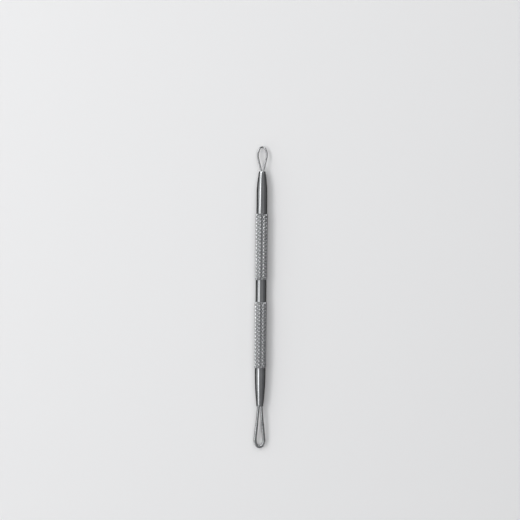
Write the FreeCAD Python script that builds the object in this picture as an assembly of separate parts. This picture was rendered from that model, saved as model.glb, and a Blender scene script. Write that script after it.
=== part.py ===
"""Double-ended blackhead extractor: a knurled steel handle with a wire loop brazed into each tip.

The tool lies along Y, with the fine loop at +Y and the broad loop at -Y. The origin is below the
middle of its length, on the surface that the grip bands lie on. Each end is built in a frame of its
own, with its origin at the middle of the tip and +Y out of the tip, and is then placed on the handle.
"""
import FreeCAD, Part
import math
import os

from FreeCAD import Placement, Rotation, Vector

# Handle: lengths in millimetres, angles in degrees
ROD_DIAMETER = 5.4
WAIST_LENGTH = 11.0
KNURL_LENGTH = 33.0
KNURL_DIAMETER = 6.0
KNURL_DEPTH = 0.28
KNURL_PITCH = 1.05
KNURL_ANGLE = 30.0
TIP_CHAMFER = 0.15

# Upper end, with the fine loop of round wire
UPPER_COLLAR_LENGTH = 9.2
UPPER_TAPER_LENGTH = 12.0
UPPER_TIP_DIAMETER = 3.2
UPPER_SOCKET_DEPTH = 8.0
FINE_WIRE_DIAMETER = 0.8
FINE_LOOP_LENGTH = 12.7
FINE_LOOP_WIDTH = 5.3
FINE_WIDEST_FROM_END = 4.5
FINE_SIDE_RADIUS = 6.9
FINE_LEG_BEND_RADIUS = 2.0
FINE_LOOP_DIP = 5.0

# Lower end, with the broad loop of heavier wire, pressed slightly flat
LOWER_COLLAR_LENGTH = 0.7
LOWER_TAPER_LENGTH = 18.5
LOWER_TIP_DIAMETER = 3.35
LOWER_SOCKET_DEPTH = 9.0
BROAD_WIRE_DIAMETER = 1.25
BROAD_WIRE_FLAT_WIDTH = 1.5
BROAD_FLATTENING_LENGTH = 3.0
BROAD_NECK_LENGTH = 6.8
BROAD_NECK_SPREAD = 2.45
BROAD_HEAD_LENGTH = 14.3
BROAD_LOOP_WIDTH = 5.9
BROAD_WIDEST_FROM_END = 4.1
BROAD_SIDE_RADIUS = 5.0
BROAD_LEG_BEND_RADIUS = 3.0
BROAD_LOOP_DIP = 5.0

# Sockets, alike at both ends
LEG_GAP = 0.06
SOCKET_CLEARANCE = 0.05
LEG_END_CLEARANCE = 0.5
DRILL_POINT_ANGLE = 118.0
BRAZE_RECESS = 0.1

# Worked out from the driving dimensions. The tool lies on two neighbouring rows of knurl points
ROD_RADIUS = ROD_DIAMETER / 2
KNURL_STARTS = max(6, round(math.pi * KNURL_DIAMETER / KNURL_PITCH))
KNURL_COLUMNS = 2 * KNURL_STARTS
AXIS_HEIGHT = KNURL_DIAMETER / 2 * math.cos(math.pi / KNURL_COLUMNS)
UPPER_SHANK_LENGTH = UPPER_COLLAR_LENGTH + UPPER_TAPER_LENGTH
LOWER_SHANK_LENGTH = LOWER_COLLAR_LENGTH + LOWER_TAPER_LENGTH
BROAD_WIRE_FLAT_THICKNESS = BROAD_WIRE_DIAMETER**2 / BROAD_WIRE_FLAT_WIDTH

X = Vector(1, 0, 0)
Y = Vector(0, 1, 0)
Z = Vector(0, 0, 1)
ORIGIN = Vector(0, 0, 0)


def arc(start, middle, end):
    return Part.Arc(start, middle, end).toShape()


def line(start, end):
    return Part.LineSegment(start, end).toShape()


def mirrored(points):
    """The same points on the other side of the plane X = 0."""
    return [Vector(-p.x, p.y, p.z) for p in points]


# Handle


def shank(collar_length, taper_length, tip_diameter):
    """A turned end: a plain collar, then a taper that curves in to a flat tip at Y = 0."""
    tip_radius = tip_diameter / 2
    drop = ROD_RADIUS - tip_radius
    curve = taper_length - TIP_CHAMFER
    radius = (curve**2 + drop**2) / (2 * drop)
    half_angle = math.asin(curve / radius) / 2
    base = -(collar_length + taper_length)
    start = Vector(ROD_RADIUS, -taper_length)
    middle = start + Vector(math.cos(half_angle) - 1, math.sin(half_angle)) * radius
    rim = Vector(tip_radius, -TIP_CHAMFER)
    tip = Vector(tip_radius - TIP_CHAMFER, 0)
    edges = [
        line(Vector(0, base), Vector(ROD_RADIUS, base)),
        line(Vector(ROD_RADIUS, base), start),
        arc(start, middle, rim),
        line(rim, tip),
        line(tip, ORIGIN),
        line(ORIGIN, Vector(0, base)),
    ]
    return Part.Face(Part.Wire(edges)).revolve(ORIGIN, Y, 360)


def knurl_band(base):
    """A band of four-sided points between two sets of crossing grooves, from Y = base upwards."""
    half_lead = KNURL_PITCH / math.tan(math.radians(KNURL_ANGLE)) / 2
    rows = max(2, round(KNURL_LENGTH / half_lead))
    crest = KNURL_DIAMETER / 2
    root = crest - KNURL_DEPTH

    def corner(column, row):
        radius = crest if (column + row) % 2 else root
        angle = math.pi * (2 * column + 1) / KNURL_COLUMNS - math.pi / 2
        along = base + KNURL_LENGTH * row / rows
        return Vector(radius * math.cos(angle), along, radius * math.sin(angle))

    grid = [[corner(column, row) for column in range(KNURL_COLUMNS)] for row in range(rows + 1)]
    faces = [Part.Face(Part.makePolygon(grid[row] + grid[row][:1])) for row in (0, rows)]
    for row in range(rows):
        for column in range(KNURL_COLUMNS):
            beside = (column + 1) % KNURL_COLUMNS
            ring = [
                grid[row][column],
                grid[row][beside],
                grid[row + 1][beside],
                grid[row + 1][column],
            ]
            if (column + row) % 2:
                ring = ring[1:] + ring[:1]
            a, b, c, d = ring
            for triangle in ([a, b, c, a], [a, c, d, a]):
                faces.append(Part.Face(Part.makePolygon(triangle)))
    shell = Part.makeShell(faces)
    shell.sewShape()
    return Part.makeSolid(shell)


def socket_radius(wire_diameter):
    return wire_diameter + LEG_GAP / 2 + SOCKET_CLEARANCE


def socket(depth, wire_diameter, top=0.0):
    """The space of a drilled socket below Y = top, with the drill's cone at its floor."""
    radius = socket_radius(wire_diameter)
    point = radius / math.tan(math.radians(DRILL_POINT_ANGLE / 2))
    drilled = Part.makeCylinder(radius, depth + top, Vector(0, -depth, 0), Y)
    return drilled.fuse(Part.makeCone(radius, 0, point, Vector(0, -depth, 0), -Y)).removeSplitter()


# Wire loops


def leg_offset(wire_diameter):
    """How far each leg of a loop stands from the middle of its socket."""
    return (wire_diameter + LEG_GAP) / 2


def corner_arc(before, corner, after, radius):
    """The start, middle and end of the arc that rounds a corner of a route."""
    back = (before - corner).normalize()
    ahead = (after - corner).normalize()
    half_turn = (math.pi - back.getAngle(ahead)) / 2
    tangent = radius * math.tan(half_turn)
    inward = (back + ahead).normalize()
    middle = corner + inward * (radius / math.cos(half_turn) - radius)
    return corner + back * tangent, middle, corner + ahead * tangent


def teardrop(start_offset, half_width, apex, widest, side_radius):
    """Right half of a loop's middle line in its own plane, from (start_offset, 0) out to (0, apex).

    A straight leg runs into a side arc, which is widest at the named place, and then into the crown's arc.
    Returns the ends and middles: leg end, side middle, crown start, crown middle, apex.
    """
    rise = apex - widest
    crown = (2 * side_radius * half_width - half_width**2 - rise**2) / (2 * (side_radius - rise))
    side_centre = Vector(half_width - side_radius, widest)
    crown_centre = Vector(0, apex - crown)
    across = side_centre - Vector(start_offset, 0)
    lean = math.atan2(across.x, across.y) + math.asin(side_radius / across.Length)
    to_crown = crown_centre - side_centre
    join = math.atan2(to_crown.y, to_crown.x)

    def on_side(angle):
        return side_centre + Vector(math.cos(angle), math.sin(angle)) * side_radius

    def on_crown(angle):
        return crown_centre + Vector(math.cos(angle), math.sin(angle)) * crown

    return [
        on_side(-lean),
        on_side((join - lean) / 2),
        on_side(join),
        on_crown((join + math.pi / 2) / 2),
        on_crown(math.pi / 2),
    ]


def tilted(points, dip, start=ORIGIN):
    """Points of a loop's own plane, dipped below the handle's axis about a cross line at start."""
    turn = Rotation(X, -dip)
    return [start + turn.multVec(p) for p in points]


def head_edges(leg_end, side_middle, crown_start, crown_middle, apex):
    """The side and crown arcs of both halves of a loop, from one leg's end to the other's."""
    right = [leg_end, side_middle, crown_start, crown_middle]
    left_end, left_side, left_start, left_crown = mirrored(right)
    return [
        arc(leg_end, side_middle, crown_start),
        arc(crown_start, crown_middle, apex),
        arc(apex, left_crown, left_start),
        arc(left_start, left_side, left_end),
    ]


def section(outline, centre, across, along):
    """A wire's section, its width laid along one direction and its plane square to another."""
    wire = Part.Wire(outline)
    wire.Placement = Placement(centre, Rotation(across, along.cross(across), along, "ZXY"))
    return wire


def round_outline(diameter):
    return Part.makeCircle(diameter / 2)


def flat_outline(width, thickness):
    return Part.Ellipse(ORIGIN, width / 2, thickness / 2).toShape()


def swept(edges, profile):
    return Part.Wire(edges).makePipeShell([profile], True, False)


def fine_loop():
    """Thin round wire: two legs out of the socket, spreading into a teardrop that dips a little."""
    offset = leg_offset(FINE_WIRE_DIAMETER)
    radius = FINE_WIRE_DIAMETER / 2
    outline = teardrop(
        offset,
        FINE_LOOP_WIDTH / 2 - radius,
        FINE_LOOP_LENGTH - radius,
        FINE_LOOP_LENGTH - FINE_WIDEST_FROM_END,
        FINE_SIDE_RADIUS,
    )
    head = tilted(outline, FINE_LOOP_DIP)
    leg_foot = Vector(offset, LEG_END_CLEARANCE - UPPER_SOCKET_DEPTH, 0)
    bend = corner_arc(leg_foot, Vector(offset, 0, 0), head[0], FINE_LEG_BEND_RADIUS)
    right_leg = [line(leg_foot, bend[0]), arc(*bend), line(bend[2], head[0])]
    foot, low, middle, high, top = mirrored([leg_foot, *bend, head[0]])
    left_leg = [line(top, high), arc(high, middle, low), line(low, foot)]
    profile = section(round_outline(FINE_WIRE_DIAMETER), leg_foot, X, Y)
    return swept(right_leg + head_edges(*head) + left_leg, profile)


def broad_loop():
    """Heavier wire: a round neck of two legs, then a dipped pear-shaped head pressed slightly flat."""
    offset = leg_offset(BROAD_WIRE_DIAMETER)
    neck_end = Vector(BROAD_NECK_SPREAD / 2, BROAD_NECK_LENGTH, 0)
    bend_line = Vector(0, BROAD_NECK_LENGTH, 0)
    outline = teardrop(
        neck_end.x,
        (BROAD_LOOP_WIDTH - BROAD_WIRE_FLAT_WIDTH) / 2,
        BROAD_HEAD_LENGTH - BROAD_WIRE_FLAT_WIDTH / 2,
        BROAD_HEAD_LENGTH - BROAD_WIDEST_FROM_END,
        BROAD_SIDE_RADIUS,
    )
    head = tilted(outline, BROAD_LOOP_DIP, bend_line)
    leg_foot = Vector(offset, LEG_END_CLEARANCE - LOWER_SOCKET_DEPTH, 0)
    mouth = corner_arc(leg_foot, Vector(offset, 0, 0), neck_end, BROAD_LEG_BEND_RADIUS)
    bend = corner_arc(mouth[2], neck_end, head[0], BROAD_LEG_BEND_RADIUS)
    along = (head[0] - neck_end).normalize()
    plane_normal = Rotation(X, -BROAD_LOOP_DIP).multVec(Z)
    across = along.cross(plane_normal)
    flat_start = bend[2] + along * BROAD_FLATTENING_LENGTH
    round_wire = round_outline(BROAD_WIRE_DIAMETER)
    flat_wire = flat_outline(BROAD_WIRE_FLAT_WIDTH, BROAD_WIRE_FLAT_THICKNESS)
    neck = swept(
        [line(leg_foot, mouth[0]), arc(*mouth), line(mouth[2], bend[0]), arc(*bend)],
        section(round_wire, leg_foot, X, Y),
    )
    round_end = section(round_wire, bend[2], across, along)
    flat_end = section(flat_wire, flat_start, across, along)
    flattening = Part.makeLoft([round_end, flat_end], True, True)
    leg = neck.fuse(flattening)
    (left_start,) = mirrored([flat_start])
    (left_end,) = mirrored([head[0]])
    route = [line(flat_start, head[0]), *head_edges(*head), line(left_end, left_start)]
    pressed_head = swept(route, flat_end)
    return leg.fuse([leg.mirror(ORIGIN, X), pressed_head]).removeSplitter()


def braze(depth, wire_diameter, loop):
    """Filler that fills the socket round the loop's legs, a little short of the tip's face."""
    return socket(depth, wire_diameter, -BRAZE_RECESS).cut(loop)


# The tool


def reach(middle_line, dip, half_width, half_thickness):
    """How far along Y a dipped loop gets past its bend, from the length of its middle line."""
    along = math.cos(math.radians(dip))
    down = math.sin(math.radians(dip))
    return middle_line * along + math.hypot(half_width * along, half_thickness * down)


def fine_reach():
    radius = FINE_WIRE_DIAMETER / 2
    return reach(FINE_LOOP_LENGTH - radius, FINE_LOOP_DIP, radius, radius)


def broad_reach():
    half_width = BROAD_WIRE_FLAT_WIDTH / 2
    half_thickness = BROAD_WIRE_FLAT_THICKNESS / 2
    middle_line = BROAD_HEAD_LENGTH - half_width
    return BROAD_NECK_LENGTH + reach(middle_line, BROAD_LOOP_DIP, half_width, half_thickness)


def build():
    fine = fine_loop()
    broad = broad_loop()
    fine_braze = braze(UPPER_SOCKET_DEPTH, FINE_WIRE_DIAMETER, fine)
    broad_braze = braze(LOWER_SOCKET_DEPTH, BROAD_WIRE_DIAMETER, broad)
    upper_shank = shank(UPPER_COLLAR_LENGTH, UPPER_TAPER_LENGTH, UPPER_TIP_DIAMETER)
    lower_shank = shank(LOWER_COLLAR_LENGTH, LOWER_TAPER_LENGTH, LOWER_TIP_DIAMETER)
    upper_shank = upper_shank.cut(socket(UPPER_SOCKET_DEPTH, FINE_WIRE_DIAMETER))
    lower_shank = lower_shank.cut(socket(LOWER_SOCKET_DEPTH, BROAD_WIRE_DIAMETER))

    grip_length = 2 * KNURL_LENGTH + WAIST_LENGTH
    handle_length = UPPER_SHANK_LENGTH + grip_length + LOWER_SHANK_LENGTH
    overall = fine_reach() + handle_length + broad_reach()
    upper_tip = overall / 2 - fine_reach()
    lower_tip = upper_tip - handle_length
    lower_band = lower_tip + LOWER_SHANK_LENGTH
    waist_base = lower_band + KNURL_LENGTH
    upper_band = waist_base + WAIST_LENGTH

    upper_end = Placement(Vector(0, upper_tip, 0), Rotation())
    lower_end = Placement(Vector(0, lower_tip, 0), Rotation(Z, 180))
    lift = Placement(Vector(0, 0, AXIS_HEIGHT), Rotation())

    def placed(shape, end):
        return shape.transformed((lift * end).toMatrix())

    middle = Placement(ORIGIN, Rotation())
    waist = Part.makeCylinder(ROD_RADIUS, WAIST_LENGTH, Vector(0, waist_base, 0), Y)
    handle = placed(upper_shank, upper_end).fuse(
        [
            placed(knurl_band(upper_band), middle),
            placed(waist, middle),
            placed(knurl_band(lower_band), middle),
            placed(lower_shank, lower_end),
        ]
    )
    return {
        "knurled_handle": handle,
        "fine_wire_loop": placed(fine, upper_end),
        "fine_loop_braze": placed(fine_braze, upper_end),
        "broad_wire_loop": placed(broad, lower_end),
        "broad_loop_braze": placed(broad_braze, lower_end),
    }


os.makedirs("parts", exist_ok=True)
for name, shape in build().items():
    shape.exportStep(f"parts/{name}.step")
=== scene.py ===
import math
from contextlib import contextmanager

import bmesh
import bpy
from mathutils import Matrix, Vector


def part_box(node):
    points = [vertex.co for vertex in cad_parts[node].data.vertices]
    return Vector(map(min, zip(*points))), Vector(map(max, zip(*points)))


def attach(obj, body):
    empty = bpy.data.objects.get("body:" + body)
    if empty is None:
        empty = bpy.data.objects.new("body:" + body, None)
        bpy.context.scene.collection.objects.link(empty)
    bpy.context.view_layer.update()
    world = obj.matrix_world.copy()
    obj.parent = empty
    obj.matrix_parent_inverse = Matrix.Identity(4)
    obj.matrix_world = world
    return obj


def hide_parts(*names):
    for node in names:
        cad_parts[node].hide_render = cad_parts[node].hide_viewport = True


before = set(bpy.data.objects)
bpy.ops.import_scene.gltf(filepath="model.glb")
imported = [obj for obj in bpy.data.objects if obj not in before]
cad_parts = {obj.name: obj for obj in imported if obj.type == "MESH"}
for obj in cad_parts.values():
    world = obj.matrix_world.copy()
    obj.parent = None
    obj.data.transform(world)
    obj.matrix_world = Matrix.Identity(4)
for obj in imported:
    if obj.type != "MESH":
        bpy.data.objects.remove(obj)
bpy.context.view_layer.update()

MM = 0.001
X, Y, Z = Vector((1, 0, 0)), Vector((0, 1, 0)), Vector((0, 0, 1))

# Where the tool lies: its axis over the floor, and its two tips along it
handle_low, handle_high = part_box("knurled_handle")
AXIS = (handle_low.z + handle_high.z) / 2
LOWER_TIP = handle_low.y
UPPER_TIP = handle_high.y

# Turned handle
ROD_RADIUS = 2.7 * MM
UPPER_COLLAR = 9.2 * MM
UPPER_TAPER = 12.0 * MM
UPPER_TIP_RADIUS = 1.6 * MM
UPPER_SOCKET_RADIUS = 0.88 * MM
UPPER_SOCKET_DEPTH = 8.0 * MM
LOWER_COLLAR = 0.7 * MM
LOWER_TAPER = 18.5 * MM
LOWER_TIP_RADIUS = 1.675 * MM
LOWER_SOCKET_RADIUS = 1.33 * MM
LOWER_SOCKET_DEPTH = 9.0 * MM
TIP_ROUNDING = 0.15 * MM
DRILL_POINT_ANGLE = math.radians(118)
TURNED_SIDES = 72
TAPER_RINGS = 18
RIM_TURNS = (30, 60, 90)

# Diamond knurl: a grid of columns round the handle and rows along it, every second point a crest
KNURL_LENGTH = 33.0 * MM
KNURL_COLUMNS = 36
KNURL_ROWS = 36
KNURL_ROOT = 2.74 * MM
KNURL_TOP = 3.0 * MM
CREST_WEAR = 0.52
KNURL_CREST = KNURL_ROOT + (KNURL_TOP - KNURL_ROOT) / (1 - CREST_WEAR)
GROOVE_ROUNDING = 0.05 * MM
BAND_CHAMFER = 0.22 * MM
KNURL_SLACK = 0.01 * MM

# Fine loop of round wire, in the upper socket
FINE_WIRE = 0.4 * MM
FINE_LEG_OFFSET = 0.43 * MM
FINE_LENGTH = 12.7 * MM
FINE_HALF_WIDTH = 2.65 * MM
FINE_WIDEST = 8.2 * MM
FINE_SIDE = 6.9 * MM
FINE_BEND = 2.0 * MM
FINE_DIP = math.radians(5)

# Broad loop of heavier wire, pressed slightly flat in its head, in the lower socket
BROAD_WIRE = 0.625 * MM
BROAD_FLAT_WIDTH = 0.75 * MM
BROAD_FLAT_HEIGHT = BROAD_WIRE**2 / BROAD_FLAT_WIDTH
BROAD_FLATTENING = 3.0 * MM
BROAD_LEG_OFFSET = 0.655 * MM
BROAD_NECK = 6.8 * MM
BROAD_NECK_HALF_SPREAD = 1.225 * MM
BROAD_HEAD = 14.3 * MM
BROAD_HALF_WIDTH = 2.95 * MM
BROAD_WIDEST = 10.2 * MM
BROAD_SIDE = 5.0 * MM
BROAD_BEND = 3.0 * MM
BROAD_DIP = math.radians(5)

FLATTENING_RINGS = 10
LEG_END_CLEARANCE = 0.5 * MM
MIRROR_MERGE = 0.001 * MM
WIRE_SIDES = 28
BEND_STEP = math.radians(3)

# Braze: its clearance in the socket, and its meniscus as heights in millimetres at shares of its radius
BRAZE_CLEARANCE = 0.01 * MM
MENISCUS = ((-0.1, 1.0), (-0.07, 0.93), (-0.02, 0.8), (0.06, 0.6), (0.11, 0.35), (0.13, 0.0))

# Edges that turn by more degrees than this stay sharp
HANDLE_CREASE = 25
WIRE_CREASE = 40
BRAZE_CREASE = 50

upper_band = UPPER_TIP - UPPER_TAPER - UPPER_COLLAR - KNURL_LENGTH
lower_band = LOWER_TIP + LOWER_TAPER + LOWER_COLLAR


# Modelling by hand


def deselect():
    bpy.ops.object.select_all(action="DESELECT")


def added(name):
    """The primitive that was just added, named, with its place moved into its mesh."""
    piece = bpy.context.object
    piece.name = name
    piece.data.name = name
    bpy.ops.object.transform_apply(location=True, rotation=True, scale=True)
    return piece


@contextmanager
def editing(piece):
    deselect()
    piece.select_set(True)
    bpy.context.view_layer.objects.active = piece
    bpy.ops.object.mode_set(mode="EDIT")
    bpy.ops.mesh.select_mode(type="VERT")
    bpy.ops.mesh.select_all(action="SELECT")
    yield
    bpy.ops.object.mode_set(mode="OBJECT")


def pick(piece, kind, wanted):
    """Selects just the verts, edges or faces of a piece in edit mode that wanted says yes to."""
    bpy.ops.mesh.select_mode(type={"verts": "VERT", "edges": "EDGE", "faces": "FACE"}[kind])
    bpy.ops.mesh.select_all(action="DESELECT")
    mesh = bmesh.from_edit_mesh(piece.data)
    for element in getattr(mesh, kind):
        element.select = wanted(element)
    mesh.select_flush_mode()
    bmesh.update_edit_mesh(piece.data)


def joined(name, pieces):
    deselect()
    for piece in pieces:
        piece.select_set(True)
    bpy.context.view_layer.objects.active = pieces[0]
    bpy.ops.object.join()
    pieces[0].name = name
    pieces[0].data.name = name
    return pieces[0]


def smooth(piece, angle):
    deselect()
    piece.select_set(True)
    bpy.context.view_layer.objects.active = piece
    bpy.ops.object.shade_smooth_by_angle(angle=math.radians(angle))


def from_axis(point):
    """How far a point is from the handle's axis."""
    return math.hypot(point.x, point.z - AXIS)


# Handle


def turned(name, stations):
    """A tube about the handle's axis, extruded ring by ring through places and radii."""
    place, radius = stations[0]
    deselect()
    bpy.ops.mesh.primitive_circle_add(
        vertices=TURNED_SIDES, radius=radius, location=(0, place, AXIS), rotation=(math.pi / 2, 0, 0)
    )
    piece = added(name)
    with editing(piece):
        for next_place, next_radius in stations[1:]:
            bpy.ops.mesh.extrude_region_move(
                TRANSFORM_OT_translate={"value": (0, next_place - place, 0)}
            )
            if next_radius == 0:
                bpy.ops.mesh.merge(type="CENTER")
                break
            narrowing = next_radius / radius
            bpy.ops.transform.resize(
                value=(narrowing, 1, narrowing), center_override=(0, next_place, AXIS)
            )
            place, radius = next_place, next_radius
    return piece


def shank_stations(collar, taper, tip_radius, socket_radius, socket_depth):
    """Depths below the tip and radii: collar, curved taper, rounded rim, flat tip, drilled socket."""
    drop = ROD_RADIUS - tip_radius
    curve = taper - TIP_ROUNDING
    bow = (curve**2 + drop**2) / (2 * drop)
    stations = [(collar + taper, ROD_RADIUS)]
    for ring in range(TAPER_RINGS + 1):
        along = curve * ring / TAPER_RINGS
        stations.append((taper - along, ROD_RADIUS - bow + math.sqrt(bow**2 - along**2)))
    for turn in RIM_TURNS:
        angle = math.radians(turn)
        depth = TIP_ROUNDING * (1 - math.sin(angle))
        stations.append((depth, tip_radius - TIP_ROUNDING * (1 - math.cos(angle))))
    point = socket_radius / math.tan(DRILL_POINT_ANGLE / 2)
    stations += [(0, socket_radius), (socket_depth, socket_radius), (socket_depth + point, 0)]
    return stations


def knurled_band(name, base):
    """A tube of crossing grooves and worn four-sided points, open at both ends."""
    deselect()
    bpy.ops.mesh.primitive_cylinder_add(
        vertices=KNURL_COLUMNS,
        radius=KNURL_CREST,
        depth=KNURL_LENGTH,
        end_fill_type="NOTHING",
        location=(0, base + KNURL_LENGTH / 2, AXIS),
        rotation=(math.pi / 2, math.pi / KNURL_COLUMNS, 0),
    )
    piece = added(name)

    def row(vert):
        return round((vert.co.y - base) / KNURL_LENGTH * KNURL_ROWS)

    def column(vert):
        turn = math.atan2(vert.co.z - AXIS, vert.co.x) / (2 * math.pi)
        return round((turn + 0.25) % 1 * KNURL_COLUMNS - 0.5)

    with editing(piece):
        pick(piece, "edges", lambda e: abs(e.verts[0].co.y - e.verts[1].co.y) > KNURL_LENGTH / 2)
        bpy.ops.mesh.subdivide(number_cuts=KNURL_ROWS - 1)
        pick(piece, "verts", lambda v: (row(v) + column(v)) % 2 == 0)
        sink = KNURL_ROOT / KNURL_CREST
        bpy.ops.transform.resize(value=(sink, 1, sink), center_override=(0, 0, AXIS))
        bpy.ops.mesh.select_all(action="SELECT")
        bpy.ops.mesh.quads_convert_to_tris(quad_method="SHORTEST_DIAGONAL")
        middle = (KNURL_ROOT + KNURL_CREST) / 2
        pick(piece, "verts", lambda v: from_axis(v.co) > middle and 0 < row(v) < KNURL_ROWS)
        bpy.ops.mesh.bevel(offset_type="PERCENT", offset_pct=100 * CREST_WEAR, affect="VERTICES")
        deep = KNURL_ROOT + KNURL_SLACK
        pick(piece, "edges", lambda e: all(from_axis(v.co) < deep for v in e.verts))
        bpy.ops.mesh.bevel(offset=GROOVE_ROUNDING, segments=2, affect="EDGES")
        for end, outwards in ((base + BAND_CHAMFER, -1), (base + KNURL_LENGTH - BAND_CHAMFER, 1)):
            bpy.ops.mesh.select_all(action="SELECT")
            bpy.ops.mesh.bisect(plane_co=(0, end, 0), plane_no=(0, outwards, 0), clear_outer=True)
        proud = max(from_axis(v.co) for v in bmesh.from_edit_mesh(piece.data).verts)
        pick(piece, "verts", lambda v: from_axis(v.co) > KNURL_TOP + KNURL_SLACK)
        trim = KNURL_TOP / proud
        bpy.ops.transform.resize(value=(trim, 1, trim), center_override=(0, 0, AXIS))
    return piece


def make_handle():
    lower = shank_stations(
        LOWER_COLLAR, LOWER_TAPER, LOWER_TIP_RADIUS, LOWER_SOCKET_RADIUS, LOWER_SOCKET_DEPTH
    )
    upper = shank_stations(
        UPPER_COLLAR, UPPER_TAPER, UPPER_TIP_RADIUS, UPPER_SOCKET_RADIUS, UPPER_SOCKET_DEPTH
    )
    lengths = [
        turned("lower_shank", [(LOWER_TIP + depth, radius) for depth, radius in lower]),
        turned("waist", [(lower_band + KNURL_LENGTH, ROD_RADIUS), (upper_band, ROD_RADIUS)]),
        turned("upper_shank", [(UPPER_TIP - depth, radius) for depth, radius in upper]),
    ]
    bands = [knurled_band("lower_band", lower_band), knurled_band("upper_band", upper_band)]
    for length in lengths:
        length.data.materials.append(turned_steel.material)
    for band in bands:
        band.data.materials.append(knurled_steel.material)
    handle = joined("handle", lengths + bands)
    shoulders = [
        lower_band,
        lower_band + KNURL_LENGTH,
        upper_band,
        upper_band + KNURL_LENGTH,
    ]
    with editing(handle):
        for shoulder in shoulders:
            pick(
                handle,
                "edges",
                lambda e: e.is_boundary and abs(e.verts[0].co.y - shoulder) < 2 * BAND_CHAMFER,
            )
            bpy.ops.mesh.bridge_edge_loops()
        bpy.ops.mesh.select_all(action="SELECT")
        bpy.ops.mesh.normals_make_consistent(inside=False)
    smooth(handle, HANDLE_CREASE)
    return handle


# Wire loops, each modelled as its right half out of a tip at the origin, along +Y


def ring(name, place, along, across, half_width, half_height):
    """The outline of a wire's section, square to the way the wire runs."""
    deselect()
    bpy.ops.mesh.primitive_circle_add(vertices=WIRE_SIDES, radius=1)
    turn = Matrix((across, along.cross(across), along)).transposed()
    bpy.context.object.matrix_world = (
        Matrix.Translation(place) @ turn.to_4x4() @ Matrix.Diagonal((half_width, half_height, 1, 1))
    )
    return added(name)


def draw_straight(start, end):
    bpy.ops.mesh.extrude_region_move(TRANSFORM_OT_translate={"value": end - start})


def draw_round(centre, axis, angle):
    """Sweeps the selected section round an axis, by the right-hand rule."""
    steps = max(2, math.ceil(angle / BEND_STEP))
    bpy.ops.mesh.spin(steps=steps, angle=-angle, center=centre, axis=axis)


def rounded_corner(before, corner, after, radius):
    """Where a bend starts and ends, its centre, axis and angle."""
    incoming = (corner - before).normalized()
    outgoing = (after - corner).normalized()
    axis = incoming.cross(outgoing).normalized()
    angle = incoming.angle(outgoing)
    tangent = radius * math.tan(angle / 2)
    start = corner - incoming * tangent
    return start, corner + outgoing * tangent, start + axis.cross(incoming) * radius, axis, angle


class Teardrop:
    """Right half of a loop's middle line: straight leg, side arc and crown arc, in a dipped plane."""

    def __init__(self, leg, half_width, apex, widest, side, dip, bend_line):
        rise = apex - widest
        crown = (2 * side * half_width - half_width**2 - rise**2) / (2 * (side - rise))
        side_centre = Vector((half_width - side, widest, 0))
        crown_centre = Vector((0, apex - crown, 0))
        across = side_centre - Vector((leg, 0, 0))
        to_crown = crown_centre - side_centre
        lean = math.atan2(across.x, across.y) + math.asin(side / across.length)
        join = math.atan2(to_crown.y, to_crown.x)
        turn = Matrix.Rotation(-dip, 3, "X")
        self.normal = turn @ Z
        self.side_centre = bend_line + turn @ side_centre
        self.crown_centre = bend_line + turn @ crown_centre
        self.side_angle = join + lean
        self.crown_angle = math.pi / 2 - join
        foot = side_centre + Vector((math.cos(lean), -math.sin(lean), 0)) * side
        self.leg_end = bend_line + turn @ foot

    def draw_arcs(self):
        draw_round(self.side_centre, self.normal, self.side_angle)
        draw_round(self.crown_centre, self.normal, self.crown_angle)


def finished_loop(piece, place):
    """Mirrors the right half, closes the legs' ends and sets the loop into its tip."""
    deselect()
    piece.select_set(True)
    bpy.context.view_layer.objects.active = piece
    mirror = piece.modifiers.new("other half", "MIRROR")
    mirror.merge_threshold = MIRROR_MERGE
    bpy.ops.object.modifier_apply(modifier=mirror.name)
    with editing(piece):
        bpy.ops.mesh.fill_holes(sides=0)
        bpy.ops.mesh.select_all(action="SELECT")
        bpy.ops.mesh.normals_make_consistent(inside=False)
    piece.matrix_world = place
    bpy.ops.object.transform_apply(location=True, rotation=True, scale=True)
    smooth(piece, WIRE_CREASE)
    return piece


def make_fine_loop():
    drop = Teardrop(
        FINE_LEG_OFFSET,
        FINE_HALF_WIDTH - FINE_WIRE,
        FINE_LENGTH - FINE_WIRE,
        FINE_WIDEST,
        FINE_SIDE,
        FINE_DIP,
        Vector(),
    )
    foot = Vector((FINE_LEG_OFFSET, LEG_END_CLEARANCE - UPPER_SOCKET_DEPTH, 0))
    mouth = Vector((FINE_LEG_OFFSET, 0, 0))
    start, end, centre, axis, angle = rounded_corner(foot, mouth, drop.leg_end, FINE_BEND)
    piece = ring("fine_loop", foot, Y, X, FINE_WIRE, FINE_WIRE)
    with editing(piece):
        draw_straight(foot, start)
        draw_round(centre, axis, angle)
        draw_straight(end, drop.leg_end)
        drop.draw_arcs()
    return finished_loop(piece, Matrix.Translation((0, UPPER_TIP, AXIS)))


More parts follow.
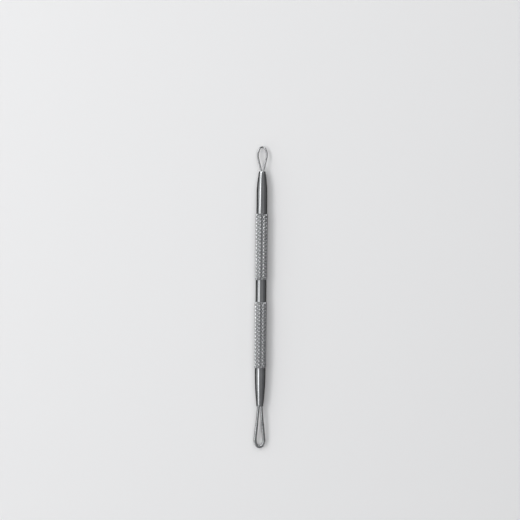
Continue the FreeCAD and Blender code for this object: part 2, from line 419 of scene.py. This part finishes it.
def make_broad_loop():
    neck_end = Vector((BROAD_NECK_HALF_SPREAD, BROAD_NECK, 0))
    drop = Teardrop(
        BROAD_NECK_HALF_SPREAD,
        BROAD_HALF_WIDTH - BROAD_FLAT_WIDTH,
        BROAD_HEAD - BROAD_FLAT_WIDTH,
        BROAD_WIDEST,
        BROAD_SIDE,
        BROAD_DIP,
        Vector((0, BROAD_NECK, 0)),
    )
    foot = Vector((BROAD_LEG_OFFSET, LEG_END_CLEARANCE - LOWER_SOCKET_DEPTH, 0))
    mouth = Vector((BROAD_LEG_OFFSET, 0, 0))
    start, end, centre, axis, angle = rounded_corner(foot, mouth, neck_end, BROAD_BEND)
    neck = ring("broad_loop", foot, Y, X, BROAD_WIRE, BROAD_WIRE)
    with editing(neck):
        draw_straight(foot, start)
        draw_round(centre, axis, angle)
        start, next_end, centre, axis, angle = rounded_corner(end, neck_end, drop.leg_end, BROAD_BEND)
        draw_straight(end, start)
        draw_round(centre, axis, angle)
    along = (drop.leg_end - neck_end).normalized()
    flat_start = next_end + along * BROAD_FLATTENING
    across = along.cross(drop.normal)
    head = ring("head", flat_start, along, across, BROAD_FLAT_WIDTH, BROAD_FLAT_HEIGHT)
    with editing(head):
        draw_straight(flat_start, drop.leg_end)
        drop.draw_arcs()
    piece = joined("broad_loop", [neck, head])

    def at_flattening(edge):
        middle = (edge.verts[0].co + edge.verts[1].co) / 2
        return edge.is_boundary and next_end.y - MM < middle.y < flat_start.y + MM

    with editing(piece):
        pick(piece, "edges", at_flattening)
        bpy.ops.mesh.bridge_edge_loops(number_cuts=FLATTENING_RINGS, interpolation="SURFACE")
    half_turn = Matrix.Rotation(math.pi, 4, "Z")
    return finished_loop(piece, Matrix.Translation((0, LOWER_TIP, AXIS)) @ half_turn)


def make_braze(name, tip, outwards, socket_radius, socket_depth):
    """Filler in a socket, with a low meniscus that climbs from the socket's wall to the legs."""
    wall = socket_radius - BRAZE_CLEARANCE
    stations = [(-socket_depth, wall)]
    for rise, share in MENISCUS:
        stations.append((rise * MM, wall * share))
    piece = turned(name, [(tip + outwards * along, radius) for along, radius in stations])
    with editing(piece):
        bpy.ops.mesh.fill_holes(sides=0)
        bpy.ops.mesh.select_all(action="SELECT")
        bpy.ops.mesh.normals_make_consistent(inside=False)
    smooth(piece, BRAZE_CREASE)
    return piece


# Finishes

POLISH_RANGE = (0.32, 0.68)
SCRATCH_SLANTS = ((0.4, 0.2, 0.5), (0.3, -0.5, -0.7))
SCRATCHES = (7000, 260, 7000)
SCRATCH_RANGE = (0.69, 0.75)
SCRATCH_ROUGHNESS = 0.07
# Height above the knurl's root over which the painted groove shade fades into the metal's colour
GROOVE_SHADE_DEPTH = 0.14 * MM


def set_input(tree, socket, value):
    if isinstance(value, bpy.types.NodeSocket):
        tree.links.new(value, socket)
    else:
        socket.default_value = value


def add_node(tree, kind, inputs=None, **settings):
    """A node with its settings, and its inputs set or linked."""
    made = tree.nodes.new(kind)
    for name, value in settings.items():
        setattr(made, name, value)
    for name, value in (inputs or {}).items():
        set_input(tree, made.inputs[name], value)
    return made


def calculate(tree, operation, first, second):
    return add_node(tree, "ShaderNodeMath", {0: first, 1: second}, operation=operation).outputs[0]


def rescale(tree, value, low, high, to_low=0.0, to_high=1.0):
    """A value that goes from to_low to to_high as the given one goes from low to high."""
    inputs = {"From Min": low, "From Max": high, "To Min": to_low, "To Max": to_high}
    return add_node(tree, "ShaderNodeMapRange", {"Value": value, **inputs}).outputs["Result"]


def mix_colour(tree, share, first, second):
    made = add_node(tree, "ShaderNodeMix", {"Factor": share}, data_type="RGBA")
    set_input(tree, made.inputs[6], first)
    set_input(tree, made.inputs[7], second)
    return made.outputs[2]


def new_effect(name, amount, amount_kind, result):
    """An empty node group that takes a place and an amount, and gives one value."""
    tree = bpy.data.node_groups.new(name, "ShaderNodeTree")
    tree.interface.new_socket("Place", in_out="INPUT", socket_type="NodeSocketVector")
    tree.interface.new_socket(amount, in_out="INPUT", socket_type=amount_kind)
    tree.interface.new_socket(result, in_out="OUTPUT", socket_type="NodeSocketFloat")
    given = tree.nodes.new("NodeGroupInput").outputs
    return tree, given["Place"], given[amount], tree.nodes.new("NodeGroupOutput").inputs[result]


def make_cloudy_polish():
    """Soft patches where the polish is duller, so many to the metre."""
    tree, place, patches, result = new_effect(
        "cloudy polish", "Patches", "NodeSocketFloat", "Dullness"
    )
    noise = add_node(
        tree,
        "ShaderNodeTexNoise",
        {"Vector": place, "Scale": patches, "Detail": 4, "Roughness": 0.6},
    )
    tree.links.new(rescale(tree, noise.outputs["Fac"], *POLISH_RANGE), result)
    return tree


def make_tool_marks():
    """Fine marks left by the lathe, die or press, so many to the metre along each axis."""
    tree, place, marks, result = new_effect("tool marks", "Marks", "NodeSocketVector", "Height")
    stretched = add_node(tree, "ShaderNodeVectorMath", {0: place, 1: marks}, operation="MULTIPLY")
    noise = add_node(
        tree,
        "ShaderNodeTexNoise",
        {"Vector": stretched.outputs[0], "Scale": 1, "Detail": 3, "Roughness": 0.55},
    )
    tree.links.new(noise.outputs["Fac"], result)
    return tree


def make_hairlines():
    """Stray hairline scratches from handling, in two crossing directions."""
    tree, place, wear, result = new_effect(
        "hairline scratches", "Wear", "NodeSocketFloat", "Scratch"
    )
    layers = []
    for turn in SCRATCH_SLANTS:
        slanted = add_node(
            tree,
            "ShaderNodeMapping",
            {"Vector": place, "Rotation": turn, "Scale": SCRATCHES},
        )
        noise = add_node(
            tree,
            "ShaderNodeTexNoise",
            {"Vector": slanted.outputs[0], "Scale": 1, "Detail": 1},
        )
        layers.append(rescale(tree, noise.outputs["Fac"], *SCRATCH_RANGE))
    crossed = calculate(tree, "MAXIMUM", *layers)
    tree.links.new(calculate(tree, "MULTIPLY", crossed, wear), result)
    return tree


cloudy_polish = make_cloudy_polish()
tool_marks = make_tool_marks()
hairlines = make_hairlines()


class Metal:
    """A worked metal: cloudy colour and polish, tool marks and hairline scratches."""

    def __init__(self, name, bright, dull, gloss, satin, patches, marks, depth, wear):
        self.material = bpy.data.materials.new(name)
        self.material.use_nodes = True
        self.tree = tree = self.material.node_tree
        self.shader = tree.nodes["Principled BSDF"]
        self.shader.inputs["Metallic"].default_value = 1
        self.place = add_node(tree, "ShaderNodeTexCoord").outputs["Object"]
        dullness = self.effect(cloudy_polish, "Patches", patches)
        height = self.effect(tool_marks, "Marks", marks)
        scratch = self.effect(hairlines, "Wear", wear)
        self.colour = mix_colour(tree, dullness, (*bright, 1), (*dull, 1))
        polish = rescale(tree, dullness, 0, 1, gloss, satin)
        self.roughness = calculate(
            tree, "ADD", polish, calculate(tree, "MULTIPLY", scratch, SCRATCH_ROUGHNESS)
        )
        relief = calculate(tree, "SUBTRACT", height, scratch)
        bump = add_node(tree, "ShaderNodeBump", {"Height": relief, "Distance": depth})
        self.show("Normal", bump.outputs["Normal"])
        self.show("Base Color", self.colour)
        self.show("Roughness", self.roughness)

    def effect(self, group, amount, value):
        made = add_node(self.tree, "ShaderNodeGroup", node_tree=group)
        set_input(self.tree, made.inputs["Place"], self.place)
        set_input(self.tree, made.inputs[amount], value)
        return made.outputs[0]

    def show(self, socket, value):
        self.tree.links.new(value, self.shader.inputs[socket])


turned_steel = Metal(
    "turned_steel",
    bright=(0.6, 0.61, 0.62),
    dull=(0.5, 0.51, 0.52),
    gloss=0.1,
    satin=0.16,
    patches=140,
    marks=(160, 9000, 160),
    depth=0.0016 * MM,
    wear=0.6,
)
knurled_steel = Metal(
    "knurled_steel",
    bright=(0.64, 0.65, 0.66),
    dull=(0.54, 0.55, 0.56),
    gloss=0.08,
    satin=0.14,
    patches=160,
    marks=(5000, 5000, 5000),
    depth=0.001 * MM,
    wear=0.3,
)
drawn_steel = Metal(
    "drawn_steel",
    bright=(0.64, 0.65, 0.66),
    dull=(0.55, 0.56, 0.57),
    gloss=0.1,
    satin=0.18,
    patches=300,
    marks=(6000, 1500, 6000),
    depth=0.001 * MM,
    wear=0.4,
)
pressed_steel = Metal(
    "pressed_steel",
    bright=(0.62, 0.63, 0.64),
    dull=(0.52, 0.53, 0.54),
    gloss=0.12,
    satin=0.22,
    patches=260,
    marks=(3500, 2200, 3500),
    depth=0.002 * MM,
    wear=0.7,
)
braze_silver = Metal(
    "braze_silver",
    bright=(0.72, 0.68, 0.58),
    dull=(0.55, 0.49, 0.4),
    gloss=0.25,
    satin=0.45,
    patches=900,
    marks=(2600, 2600, 2600),
    depth=0.012 * MM,
    wear=0.1,
)


def painted_groove_shade(metal, groove_shade_colour, groove_roughness):
    """Paints shade into the knurl's grooves as a dark colour that fades out toward the crests, and
    roughens the grooves; the worn crests keep the plain metal colour.
    """
    tree = metal.tree
    centred = add_node(
        tree, "ShaderNodeVectorMath", {0: metal.place, 1: (0, 0, AXIS)}, operation="SUBTRACT"
    )
    square_on = add_node(
        tree, "ShaderNodeVectorMath", {0: centred.outputs[0], 1: (1, 0, 1)}, operation="MULTIPLY"
    )
    reach = add_node(tree, "ShaderNodeVectorMath", {0: square_on.outputs[0]}, operation="LENGTH")
    rise = rescale(tree, reach.outputs["Value"], KNURL_ROOT, KNURL_ROOT + GROOVE_SHADE_DEPTH)
    metal.show("Base Color", mix_colour(tree, rise, (*groove_shade_colour, 1), metal.colour))
    rough = add_node(tree, "ShaderNodeMix", {"Factor": rise}, data_type="FLOAT")
    set_input(tree, rough.inputs[2], groove_roughness)
    set_input(tree, rough.inputs[3], metal.roughness)
    metal.show("Roughness", rough.outputs[0])


# Painted shade: the knurl's grooves are given a dark colour where shade falls in them
painted_groove_shade(knurled_steel, groove_shade_colour=(0.16, 0.16, 0.165), groove_roughness=0.5)


# The tool's pieces

handle = make_handle()
fine_loop = make_fine_loop()
broad_loop = make_broad_loop()
fine_braze = make_braze("fine_braze", UPPER_TIP, 1, UPPER_SOCKET_RADIUS, UPPER_SOCKET_DEPTH)
broad_braze = make_braze("broad_braze", LOWER_TIP, -1, LOWER_SOCKET_RADIUS, LOWER_SOCKET_DEPTH)
fine_loop.data.materials.append(drawn_steel.material)
broad_loop.data.materials.append(pressed_steel.material)
fine_braze.data.materials.append(braze_silver.material)
broad_braze.data.materials.append(braze_silver.material)

for piece, node, slot in (
    (handle, "knurled_handle", "handle_steel"),
    (fine_loop, "fine_wire_loop", "fine_wire_steel"),
    (broad_loop, "broad_wire_loop", "broad_wire_steel"),
    (fine_braze, "fine_loop_braze", "braze_alloy"),
    (broad_braze, "broad_loop_braze", "braze_alloy"),
):
    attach(piece, "root")
    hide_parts(node)


# Floor, light and camera

FLOOR_SIZE = 6
PALE = (0.8, 0.8, 0.805, 1)
ROOM_LEFT = (0.36, 0.365, 0.37, 1)
ROOM_RIGHT = (0.14, 0.14, 0.144, 1)
ROOM_BELOW = (0.07, 0.07, 0.07, 1)
ROOM_ACROSS = (-0.9, 0.9)
HORIZON = (-0.2, 0.15)

deselect()
bpy.ops.mesh.primitive_plane_add(size=FLOOR_SIZE)
floor = added("floor")
pale = bpy.data.materials.new("pale_floor")
pale.use_nodes = True
matt = pale.node_tree.nodes["Principled BSDF"].inputs
matt["Base Color"].default_value = PALE
matt["Roughness"].default_value = 0.9
matt["Specular IOR Level"].default_value = 0.1
floor.data.materials.append(pale)
floor.visible_glossy = False


def make_world():
    """Pale past the floor, and in the steel a dim room, lighter on the left, dark under the horizon."""
    world = bpy.data.worlds.new("studio")
    world.use_nodes = True
    tree = world.node_tree
    direction = add_node(tree, "ShaderNodeTexCoord").outputs["Generated"]
    toward = add_node(tree, "ShaderNodeSeparateXYZ", {0: direction}).outputs
    wall = mix_colour(tree, rescale(tree, toward["X"], *ROOM_ACROSS), ROOM_LEFT, ROOM_RIGHT)
    room = mix_colour(tree, rescale(tree, toward["Z"], *HORIZON), ROOM_BELOW, wall)
    camera_ray = add_node(tree, "ShaderNodeLightPath").outputs["Is Camera Ray"]
    shown = mix_colour(tree, camera_ray, room, PALE)
    tree.links.new(shown, tree.nodes["Background"].inputs["Color"])
    bpy.context.scene.world = world


def softbox(name, angle, along, distance, width, length, brightness):
    """A lamp so many degrees right of straight up, facing the tool, its length along the tool."""
    turn = math.radians(angle)
    place = Vector((distance * math.sin(turn), along, distance * math.cos(turn)))
    back = place.normalized()
    across = Y.cross(back).normalized()
    axes = Matrix((across, back.cross(across), back)).transposed()
    bpy.ops.object.light_add(type="AREA")
    lamp = bpy.context.object
    lamp.name = name
    lamp.data.shape = "RECTANGLE"
    lamp.data.size = width
    lamp.data.size_y = length
    lamp.data.energy = brightness * math.pi * width * length
    lamp.matrix_world = Matrix.Translation(place) @ axes.to_4x4()
    return lamp


make_world()

# Lamps that the steel shows: name, degrees to the right, place along the tool, width, length, brightness
LAMP_DISTANCE = 1.0
for name, angle, along, width, length, brightness in (
    ("key_strip", -38, 0.15, 0.42, 1.2, 1.6),
    ("side_panel", -70, 0.3, 0.3, 1.2, 0.3),
    ("right_panel", 35, 0.15, 0.24, 1.2, 0.09),
    ("window", -47, 0.72, 0.5, 0.5, 2.6),
    ("right_window", 18, 0.9, 0.5, 0.6, 2.4),
    ("back_window", -64, -0.75, 0.5, 0.5, 1.6),
    ("back_panel", 70, -0.75, 0.5, 0.5, 0.8),
):
    softbox(name, angle, along, LAMP_DISTANCE, width, length, brightness)

# Lamps that light the floor and cast its shadow, and that the steel does not show
FLOOR_LAMP_DISTANCE = 1.6
for name, angle, width, length, brightness in (
    ("floor_fill", -40, 0.4, 0.6, 5.5),
    ("floor_wash", 0, 1.6, 1.6, 1.0),
):
    lamp = softbox(name, angle, 0, FLOOR_LAMP_DISTANCE, width, length, brightness)
    lamp.visible_glossy = False

# Camera straight above, turned so that the tool leans as it does in the photograph
VIEW_WIDTH = 260 * MM
VIEW_CENTRE = (-0.66 * MM, 18.65 * MM)
VIEW_TURN = math.radians(0.59)
LENS = 100
SENSOR = 36
camera = bpy.data.objects.new("camera", bpy.data.cameras.new("camera"))
camera.data.lens = LENS
camera.data.sensor_width = SENSOR
camera.data.clip_start = 0.01
camera.location = (*VIEW_CENTRE, AXIS + VIEW_WIDTH * LENS / SENSOR)
camera.rotation_euler = (0, 0, VIEW_TURN)
bpy.context.collection.objects.link(camera)
bpy.context.scene.camera = camera
bpy.context.scene.view_settings.view_transform = "Standard"
